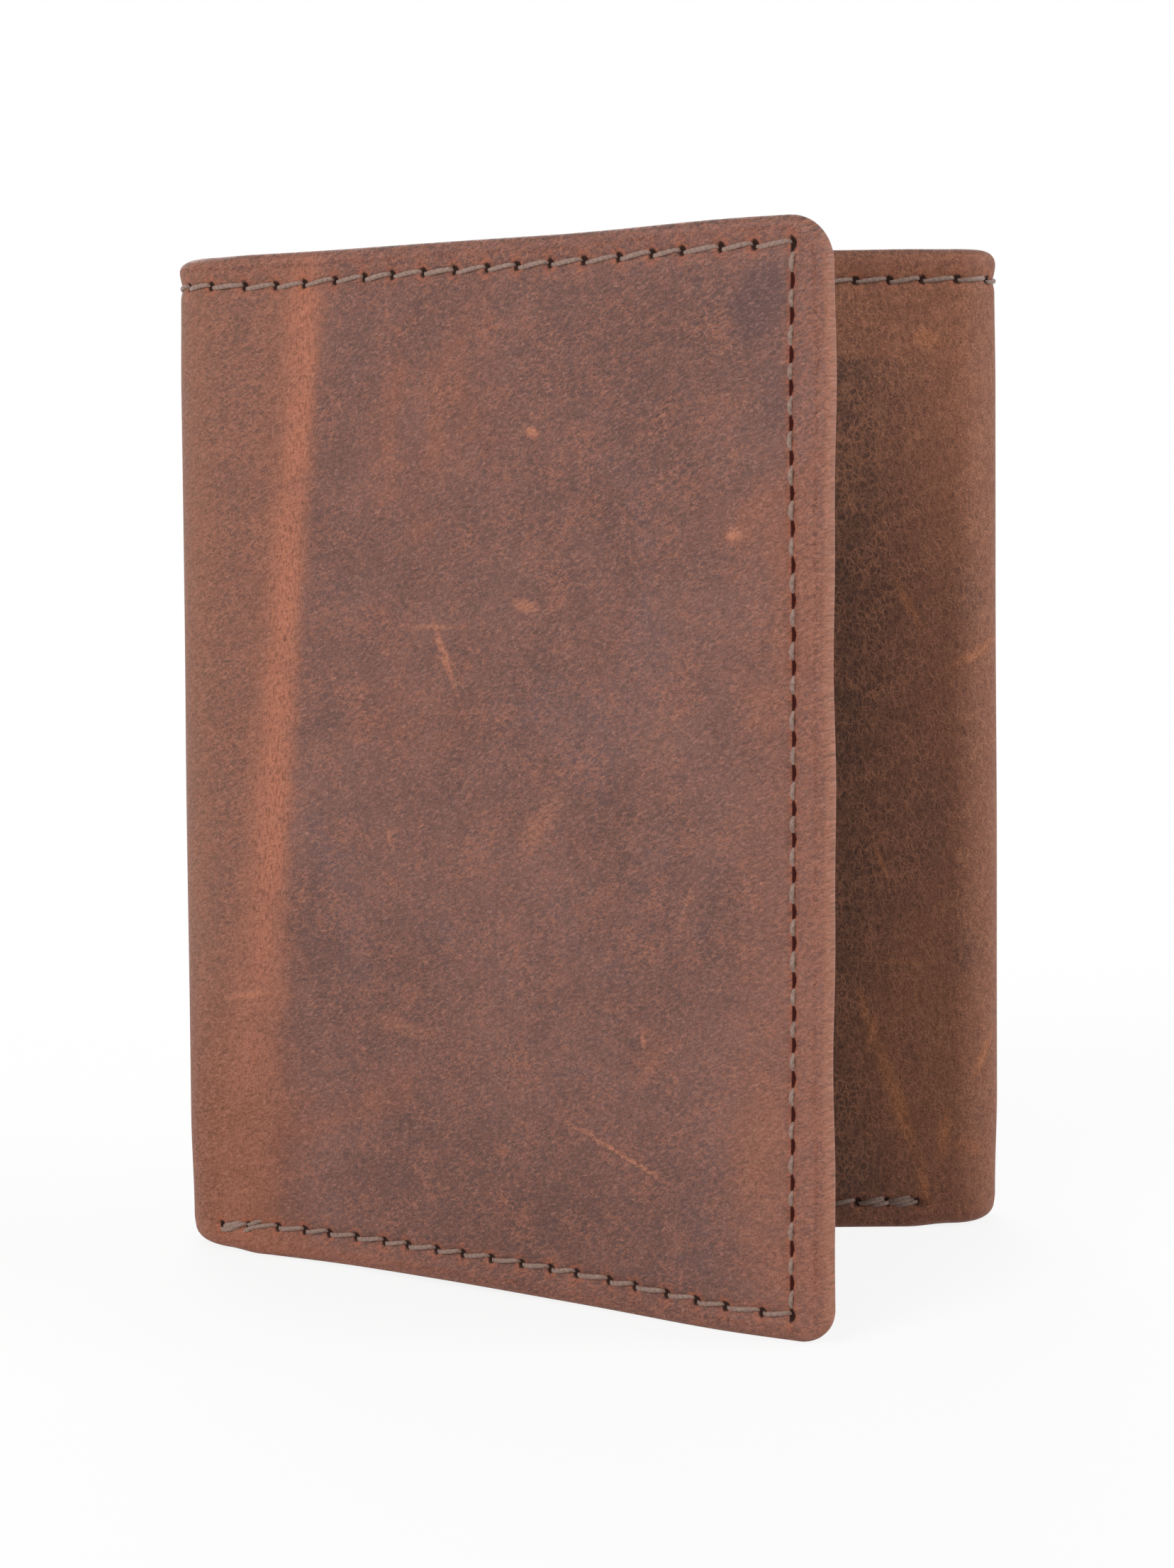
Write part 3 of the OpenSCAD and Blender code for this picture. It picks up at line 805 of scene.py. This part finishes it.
    # Light and dark nap, and fine specks: partly the nap's own tone, partly painted glints on the fibres and
    # painted shade between them
    dark = n.mix(toward_tucked, srgb(62, 42, 37), srgb(40, 25, 19))
    n.colour = n.mix(n.span(nap, 0.54, 0.24, 0, 0.42), n.colour, dark)
    light = n.mix(toward_tucked, srgb(184, 130, 110), srgb(164, 110, 80))
    n.colour = n.mix(n.span(nap, 0.48, 0.78, 0, 0.45), n.colour, light)
    speck = n.times(n.minus(fine, 0.5), n.span(toward_tucked, 0, 1, 1, 1.8))
    n.colour = n.scaled(n.colour, n.most(n.plus(speck, 0.96), 0.4))
    # Needle holes, with torn edges. The dark slits are painted shade in the holes, which the mesh only
    # dimples
    holes = n.point("hole")
    torn = n.times(n.span(holes, 1.3, 0.5, 0, 0.55), n.span(nap, 0.42, 0.58, 0.1, 1))
    n.lay((168, 92, 61), torn, n.span(toward_tucked, 0, 1, 1, 0.4))
    core = n.span(holes, 0.58, 0.34)
    level_seam = n.most(n.span(z, top - 5, top - 4), n.span(z, 5, 4))
    n.colour = n.mix(core, n.colour, n.mix(level_seam, srgb(54, 12, 4), srgb(42, 22, 15)))
    grain = n.plus(n.times(nap, 0.65), n.times(fine, 0.35))
    grain = n.plus(grain, n.times(net, toward_tucked, crackled, 0.4))
    rough = n.most(n.span(nap, 0.3, 0.7, 0.72, 0.56), core)
    return n.principled(n.colour, rough, n.bump(grain, 0.14 * MM, 0.6), {"Specular IOR Level": 0.3})


def inner_leather_material():
    """Thin pebbled leather, darker along its edges."""
    n = Nodes("thin_inner_leather")
    at = n.sheet_mm()
    clouds = n.noise(at, 0.05, 3)
    fine = n.noise(at, 2.4, 4, 0.6, 0.3)
    net = n.cracks(n.warped(at, 0.9, 0.35), 1.15, 0.2)
    tone = n.plus(n.times(clouds, 0.3), n.times(fine, 0.7))
    n.colour = n.mix(n.span(tone, 0.3, 0.7), srgb(74, 50, 41), srgb(110, 75, 59))
    n.lay((54, 36, 29), net, 0.4)
    n.lay((58, 38, 30), n.span(n.point("edge"), 1.1, 0.2, 0, 0.6))
    pebbles = n.minus(n.times(fine, 0.5), n.times(net, 0.5))
    rough = n.span(fine, 0.3, 0.7, 0.62, 0.5)
    return n.principled(n.colour, rough, n.bump(pebbles, 0.1 * MM, 0.6), {"Specular IOR Level": 0.22})


def cloth_material(name, dark, light, yarn):
    """Plain weave with yarns a given width apart, in millimetres."""
    n = Nodes(name)
    at = n.sheet_mm()
    warp, weft = (n.math("SINE", n.times(place, math.pi / yarn)) for place in n.parts(at))
    uneven = n.noise(n.mapped(at, scale=(0.4, 5, 1)), 1.2, 2)
    height = n.plus(n.times(warp, weft), n.times(uneven, 0.8))
    colour = n.mix(n.span(height, -0.8, 1.6), dark, light)
    return n.principled(colour, 0.85, n.bump(height, 0.06 * MM, 0.6), {"Sheen Weight": 0.15})


def thread_material():
    """Twisted thread, painted dimmer towards the tucked flap as the shade it lies in there; the faint ply
    stripes in its colour are painted shade of the twist.
    """
    n = Nodes("twisted_thread")
    at = n.sheet_mm()
    x, y = n.parts(at)
    # Faint ply stripes: painted shade of the twist
    ply = n.math("SINE", n.times(n.minus(x, n.times(y, 0.8)), math.tau / 0.62))
    fuzz = n.noise(n.mapped(at, turn=0.7, scale=(1, 4, 1)), 6, 3, 0.6)
    tone = n.plus(n.times(ply, 0.05), fuzz)
    colour = n.mix(n.span(tone, 0.2, 0.8), srgb(108, 83, 72), srgb(158, 129, 115))
    # Painted shade: dimmer towards the tucked flap
    colour = n.scaled(colour, n.span(x, *DRIFT, 1, 0.72))
    return n.principled(colour, 0.6, n.bump(tone, 0.05 * MM, 0.4), {"Sheen Weight": 0.2})


def window_material():
    """Clear plastic with a faint haze, which shows what is behind it."""
    n = Nodes("clear_window")
    at = n.sheet_mm()
    ripple = n.noise(at, 0.12, 2)
    haze = n.noise(n.mapped(at, turn=0.5, scale=(3, 1, 1)), 0.5, 4)
    colour = n.mix(n.span(haze, 0.3, 0.7), srgb(140, 140, 138), srgb(176, 176, 172))
    rough = n.span(haze, 0.3, 0.7, 0.06, 0.16)
    return n.principled(colour, rough, n.bump(ripple, 0.4 * MM, 0.5), {"Alpha": 0.24, "IOR": 2})


SHELL = shell_leather_material()
INNER = inner_leather_material()
LINING = cloth_material("woven_lining", srgb(38, 27, 22), srgb(66, 48, 39), 0.45)
DIVIDER = cloth_material("woven_divider", srgb(34, 25, 20), srgb(60, 45, 37), 0.4)
THREAD = thread_material()
WINDOW = window_material()

# Shell leather. The turned hem is thicker than the single leather and has a rounded rim
LOW_CORNER = 3.3 * MM
FULL_RIM = 1.9 * MM
RIM_ROUND = 0.85 * MM
SHELL_STEP = 0.46 * MM


def panel_lift(path, p, z):
    """How far the bottom hem of a flap and the top hem on the tucked side sit above the plain outline."""
    up = 0 * z
    if path is front_path:
        u = p - path.bend_end
        corner = smooth(u, 42 * MM, 66 * MM)
        lift = 0.12 * smooth(u, 1 * MM, 6 * MM) * (1 - corner) + 0.3 * bell(u - 28 * MM, 14 * MM)
        up = lift * MM * (1 - smooth(z, 0, 20 * MM))
        up = up + 0.4 * MM * corner * smooth(z, HEIGHT - 14 * MM, HEIGHT)
    if path in (tucked_path, back_right_path):
        side = 1 if path.flap else smooth(p, 10 * MM, 35 * MM)
        up = up + 0.35 * MM * side * smooth(z, SEAM_TOP + 0.8 * MM, HEIGHT)
    return up


def uneven_edge(path, p, z):
    """How far the free edge of a flap strays from a straight cut."""
    stray = np.sin(z / (6.5 * MM) + 0.6) + 0.6 * np.sin(z / (2.9 * MM) + 2)
    return 0.1 * MM * stray * smooth(p, path.end - 3 * MM, path.end)


def fold_tuck(path, p, z):
    """The turned bottom and top of a fold draw in, as leather does where a hem goes round a bend."""
    if path.flap:
        near = 1 - smooth(p, path.bend_end, path.bend_end + 5 * MM)
    else:
        near = smooth(p, path.first - 5 * MM, path.first)
    return near * (0.62 * quarter(z, 3 * MM) + 0.7 * quarter(HEIGHT - z, 1.3 * MM))


def shell_strip(path):
    """Outer leather of a strip, with its hem, seam channels and needle holes, and its stitches."""
    flap = path.flap
    low_corner, corner = (LOW_CORNER, CORNER) if flap else (0, 0)
    side = path.end - SEAM_SIDE
    fine_p = [(side - 0.75 * MM, side + 0.5 * MM)] if flap else []
    fine_z = [(SEAM_BOTTOM - 0.7 * MM, SEAM_BOTTOM + 1.5 * MM), (SEAM_TOP - 1.4 * MM, SEAM_TOP + 0.8 * MM)]
    p, z, d = plan(0, path.end, 0, HEIGHT, SHELL_STEP, SHELL_STEP, low_corner, corner, free_end=flap,
                   fine_p=fine_p, fine_z=fine_z)
    seams = strip_seams(path)
    channel, dimples, away_from_hole = seam_relief(path, p, z, seams)
    # Outer face: rounded rim, a lip outside the seam and a slight, uneven padding within it
    half = FULL_RIM / 2
    full = rounded(d, RIM_ROUND)
    lip = 0.1 * MM * bell(d - 1.25 * MM, 0.55 * MM)
    pad = 0.22 * MM * smooth(d, 3.5 * MM, 14 * MM)
    pad = pad * (0.75 + 0.25 * np.sin(p / (9 * MM) + 2 * np.sin(z / (17 * MM))))
    outer = half * (1 - full) + channel + 0.34 * MM * dimples - lip - pad
    # Inner face: the hem's thicker bead, which is wider along the side of a flap
    bead = 0.95 * MM + 0 * d
    if flap:
        beside = smooth(np.minimum(z, HEIGHT - z), CORNER, CORNER + 4 * MM)
        bead = bead + 1.2 * MM * beside * smooth(p, path.end - 4 * MM, path.end - 2.6 * MM)
    inside = LEATHER - 0.02 * MM
    thick = FULL_RIM + (inside - FULL_RIM) * smooth(d, bead - 0.25 * MM, bead)
    inner = half + (thick - half) * full
    tuck = fold_tuck(path, p, z)
    z = z + panel_lift(path, p, z)
    if flap:
        p = p + uneven_edge(path, p, z)
    obj = grid_object("shell_" + path.name, path, p, z, outer + tuck, inner + tuck, SHELL, flap,
                      attributes={"edge": d / MM, "hole": away_from_hole / MM})
    attach_strip(obj, path, "leather", LEATHER / 2)
    tacks = []
    if flap:
        # The bottom seam starts with two rows sewn over each other
        _, line, places = seams[2]
        for step in (-0.3 * MM, 0.28 * MM):
            holes = places[0] + np.array([-0.1, 2.9, 5.4]) * MM + step
            tacks.append((True, lambda run, step=step: line(run) + step, holes))
    stitches = twisted_stitches("stitches_" + path.name, path, seams + tacks,
                                shift=lambda a, b: panel_lift(path, a, b))
    attach_strip(stitches, path, "thread", LEATHER / 2)


for path in PATHS:
    shell_strip(path)

# Inner layers
LAYER_STEP = 1.2 * MM
LAYER_ROUND = 0.3 * MM


def pinched(path, p, z, depth):
    """Depth of a layer, less where the panel's layers are sewn together and more where a fold draws in."""
    keep = 0.8 + 0.2 * smooth(z, 2 * MM, 9 * MM)
    if path.flap:
        keep = keep * (0.55 + 0.45 * smooth(path.end - p, 3 * MM, 14 * MM))
    return LEATHER + (depth - LEATHER) * keep + fold_tuck(path, p, z)


def thin_layer(path, p, z, d, depth, thick, crease=0):
    """Outer and inner depth of a thin layer with rounded borders."""
    half = thick / 2
    full = rounded(d, LAYER_ROUND)
    outer = pinched(path, p, z, depth + half * (1 - full))
    inner = pinched(path, p, z, depth + half * (1 + full) - crease)
    return outer, inner


def inner_strip(path, kind, material):
    """Layer behind the leather of a strip, with its flat length, height and area."""
    depth, thick, z0, z1 = layer("tucked_" + kind)
    p_end = path.end - FREE_INSET if path.flap else path.end
    corner = INNER_CORNER if path.flap else 0
    p, z, d = plan(0, p_end, z0, z1, LAYER_STEP, 2 * MM, corner, corner, free_end=path.flap)
    outer, inner = thin_layer(path, p, z, d, depth, thick)
    obj = grid_object(kind + "_" + path.name, path, p, z, outer, inner, material, path.flap,
                      attributes={"edge": d / MM})
    middle = depth + thick / 2
    attach_strip(obj, path, kind, middle)
    bend = path.neutral - (middle - LEATHER / 2)
    length = path.first + bend * path.sweep + p_end - path.bend_end
    cut = (2 - math.pi / 2) * corner ** 2
    return obj, length, z1 - z0, length * (z1 - z0) - cut


for path in PATHS:
    inner_strip(path, "inner_wall", INNER)
    for kind, cloth in (("lining", LINING), ("divider", DIVIDER)):
        obj, length, height, area = inner_strip(path, kind, cloth)

# Card pockets

def card_pocket(path, place):
    """Pocket on the inside of a flap. Its mouth gapes a little and has a crease below it."""
    depth, thick, z0, z1 = layer("tucked_card_pocket_" + place)
    p0 = path.bend_end + POCKET_MARGIN
    p1 = path.end - FREE_INSET
    p, z, d = plan(p0, p1, z0, z1, LAYER_STEP, 1.4 * MM, INNER_CORNER, free_start=True)
    middle = smooth(p, p0, p0 + 20 * MM) * (1 - smooth(p, p1 - 22 * MM, p1 - 4 * MM))
    gape = 0.22 * MM * np.exp(-(z1 - z) / (4 * MM)) * middle
    crease = 0.07 * MM * bell(z1 - z - 2.2 * MM, 0.5 * MM)
    outer, inner = thin_layer(path, p, z, d, depth, thick, crease)
    obj = grid_object(path.name + "_pocket_" + place, path, p, z, outer + gape, inner + gape, INNER,
                      True, True, {"edge": d / MM})
    attach(obj, path.bodies[1], path.name + "_card_pocket_" + place)


POCKETS = ("upper", "middle", "lower")
for path in FLAPS:
    for place in POCKETS:
        card_pocket(path, place)

# Stitches on the inner faces of the flaps

def inner_face(path):
    """Depth of the innermost layer of a flap."""
    wall_depth, wall_thick, _, _ = layer("tucked_inner_wall")
    steps = [layer("tucked_card_pocket_" + place) for place in POCKETS]

    def face(p, z):
        depth = np.full_like(z, wall_depth + wall_thick)
        for pocket_depth, thick, _, mouth in steps:
            depth = np.where(z < mouth, pocket_depth + thick, depth)
        return pinched(path, p, z, depth)
    return face


for path in FLAPS:
    side = path.end - SEAM_SIDE
    wall_top = layer("tucked_inner_wall")[3]
    runs = [
        (False, straight(side), hole_row(SEAM_BOTTOM, wall_top - INNER_CORNER, SIDE_PITCH)),
        (True, straight(SEAM_BOTTOM), hole_row(path.bend_end + SEAM_START, side, LEVEL_PITCH)),
    ]
    obj = twisted_stitches(path.name + "_pocket_stitches", path, runs, face=inner_face(path))
    attach(obj, path.bodies[1], path.name + "_pocket_thread")

# Window pocket on the centre panel
frame_lo, frame_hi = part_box("id_window_frame")
frame_depth, frame_thick = BACK_Y - frame_hi.y, frame_hi.y - frame_lo.y
FRAME_BORDER = 9 * MM
FRAME_CORNER = 1.2 * MM
FRAME_SEAM = 2.5 * MM
FRAME_CHANNEL = 0.1 * MM
WINDOW_R = 4 * MM
LOOP = 256


def rounded_loop(half_x, z0, z1, r):
    """Points along a rounded rectangle, as many on each corner and side."""
    share = np.linspace(0, 1, LOOP // 8, endpoint=False)[:, None]
    x, low, high = half_x - r, z0 + r, z1 - r
    corners = np.array([(x, high), (-x, high), (-x, low), (x, low)])
    points = []
    for i, corner in enumerate(corners):
        turn = math.pi / 2 * (i + share)
        points.append(corner + r * np.hstack([np.cos(turn), np.sin(turn)]))
        turn = math.pi / 2 * (i + 1)
        side = corners[(i + 1) % 4] - corner
        points.append(corner + r * np.array([math.cos(turn), math.sin(turn)]) + side * share)
    return np.concatenate(points)


def centre_depth(z, depth):
    """Depth of a layer in the middle of the back."""
    return pinched(back_left_path, np.zeros_like(z), z, depth)


def window_frame():
    """Leather frame with rounded borders, a groove round the window and a channel for its seam."""
    outer = rounded_loop(frame_hi.x, frame_lo.z, frame_hi.z, FRAME_CORNER)
    low, high = frame_lo.z + FRAME_BORDER, frame_hi.z - FRAME_BORDER
    hole = rounded_loop(frame_hi.x - FRAME_BORDER, low, high, WINDOW_R)
    rim = np.array([0, 0.006, 0.02, 0.045, 0.08])
    shares = np.concatenate([rim, np.linspace(0.15, 0.85, 14), 1 - rim[::-1]])
    away = np.minimum(shares, 1 - shares) * FRAME_BORDER
    full = rounded(away, 0.45 * MM)
    groove = 0.12 * MM * bell(away - 1.6 * MM, 0.4 * MM) * (shares > 0.5)
    seam = FRAME_CHANNEL * bell(shares * FRAME_BORDER - FRAME_SEAM, 0.5 * MM)
    half = frame_thick / 2
    share = np.concatenate([shares, shares[-2:0:-1]])
    level = np.concatenate([half * (1 + full) - groove - seam, half * (1 - full[-2:0:-1])])
    at = outer[:, None, :] + (hole - outer)[:, None, :] * share[None, :, None]
    x, z = at[..., 0], at[..., 1]
    y = BACK_Y - centre_depth(z, frame_depth + level[None, :])
    verts = np.stack([x, y, z], -1).reshape(-1, 3)
    faces = ring_faces(LOOP, len(share), closed=True)
    edge = np.tile(np.minimum(share, 1 - share) * FRAME_BORDER / MM, LOOP)
    obj = make_object("id_window_frame_leather", verts, faces, INNER, at.reshape(-1, 2), {"edge": edge})
    attach(obj, "centre_panel", "id_window_frame")


def window_sheet():
    """Thin clear sheet with a faint wave."""
    lo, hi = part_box("id_window_sheet")
    depth, thick = BACK_Y - hi.y, hi.y - lo.y
    # The middle of the back is where both back paths begin, so x is minus the place along the left one
    xs = lo.x + marks(hi.x - lo.x, 2 * MM, True, True)
    zs = lo.z + marks(hi.z - lo.z, 2 * MM, True, True)
    p, z = np.meshgrid(-xs[::-1], zs, indexing="ij")
    d = np.minimum(np.minimum(hi.x - np.abs(p), z - lo.z), hi.z - z)
    full = rounded(np.maximum(d, 0), 0.2 * MM)
    half = 0.9 * thick / 2
    wave = 0.012 * MM * np.sin(p / (7 * MM) + np.sin(z / (11 * MM)))
    outer = centre_depth(z, depth + thick / 2 - half * full) + wave
    inner = centre_depth(z, depth + thick / 2 + half * full) + wave
    obj = grid_object("id_window_clear", back_left_path, p, z, outer, inner, WINDOW, True, True)
    attach(obj, "centre_panel", "id_window_sheet")


def window_stitches():
    """Stitches along the sides and the bottom of the window frame."""
    side = frame_hi.x - FRAME_SEAM
    low, high = frame_lo.z + FRAME_SEAM, frame_hi.z - FRAME_SEAM

    def face(p, z):
        return centre_depth(z, np.full_like(z, frame_depth + frame_thick - FRAME_CHANNEL))

    runs = [
        (False, straight(side), hole_row(low, high, SIDE_PITCH)),
        (False, straight(-side), hole_row(low, high, SIDE_PITCH)),
        (True, straight(low), hole_row(-side, side, LEVEL_PITCH)),
    ]
    obj = twisted_stitches("id_window_stitches", back_left_path, runs, face=face)
    attach(obj, "centre_panel", "id_window_thread")


window_frame()
window_sheet()
window_stitches()

# Floor, light and camera

scene = bpy.context.scene
scene.view_settings.view_transform = "Standard"
WHITE = (1, 1, 1, 1)
PALE = (0.86, 0.86, 0.86, 1)
SENSOR = 36
PHOTO_HEIGHT = 2212
MIDDLE = Vector((0, 0, HEIGHT / 2))


def make_world(level):
    """Even white light of some strength, and a white background."""
    n = Nodes("studio", "World")
    light, white = (n.add("Background", {"Color": WHITE, "Strength": s}) for s in (level, 1))
    n.mixed(n.seen_directly(), light, white)
    scene.world = n.owner


def make_floor():
    """Pale floor that keeps the object's shadow and turns white away from the object."""
    far = 2
    near_end, far_end = 0.08, 0.4
    mesh = bpy.data.meshes.new("floor")
    corners = [(-far, -far, 0), (far, -far, 0), (far, far, 0), (-far, far, 0)]
    mesh.from_pydata(corners, [], [(0, 1, 2, 3)])
    floor = bpy.data.objects.new("floor", mesh)
    scene.collection.objects.link(floor)
    n = Nodes("pale_floor")
    matte = n.add("BsdfDiffuse", {"Color": PALE})
    white = n.add("Emission", {"Strength": 1})
    away = n.vector("LENGTH", n.add("TexCoord").outputs["Object"])["Value"]
    n.mixed(n.times(n.seen_directly(), n.span(away, near_end, far_end, 0.86, 1)), matte, white)
    mesh.materials.append(n.owner)


def lamp(name, place, size, power):
    """Round soft lamp that shines at the middle of the wallet."""
    data = bpy.data.lights.new(name, "AREA")
    data.shape = "DISK"
    data.size = size
    data.energy = power
    obj = bpy.data.objects.new(name, data)
    scene.collection.objects.link(obj)
    obj.location = place
    obj.rotation_euler = (MIDDLE - Vector(place)).to_track_quat("-Z", "Y").to_euler()


make_world(0.45)
make_floor()
lamp("key_left", (-0.42, -0.62, 0.5), 0.5, 4)
lamp("rim_right", (0.62, -0.12, 0.32), 0.4, 2.6)
lamp("fill_back", (-0.15, 0.8, 0.5), 0.7, 4.5)


def aim_camera(place_mm, yaw, pitch, roll, focal_px):
    """Camera at a place, turned by some degrees, with a focal length in pixels of the photo."""
    data = bpy.data.cameras.new("camera")
    data.sensor_width = SENSOR
    data.lens = focal_px * SENSOR / PHOTO_HEIGHT
    data.clip_start = 0.01
    obj = bpy.data.objects.new("camera", data)
    scene.collection.objects.link(obj)
    pose = Matrix.Translation(Vector(place_mm) * MM)
    for angle, axis in ((yaw, "Z"), (90 + pitch, "X"), (roll, "Z")):
        pose = pose @ Matrix.Rotation(math.radians(angle), 4, axis)
    obj.matrix_world = pose
    scene.camera = obj


aim_camera((5.6, -314.8, 80.3), 1.11, -5.47, -0.76, 4423)
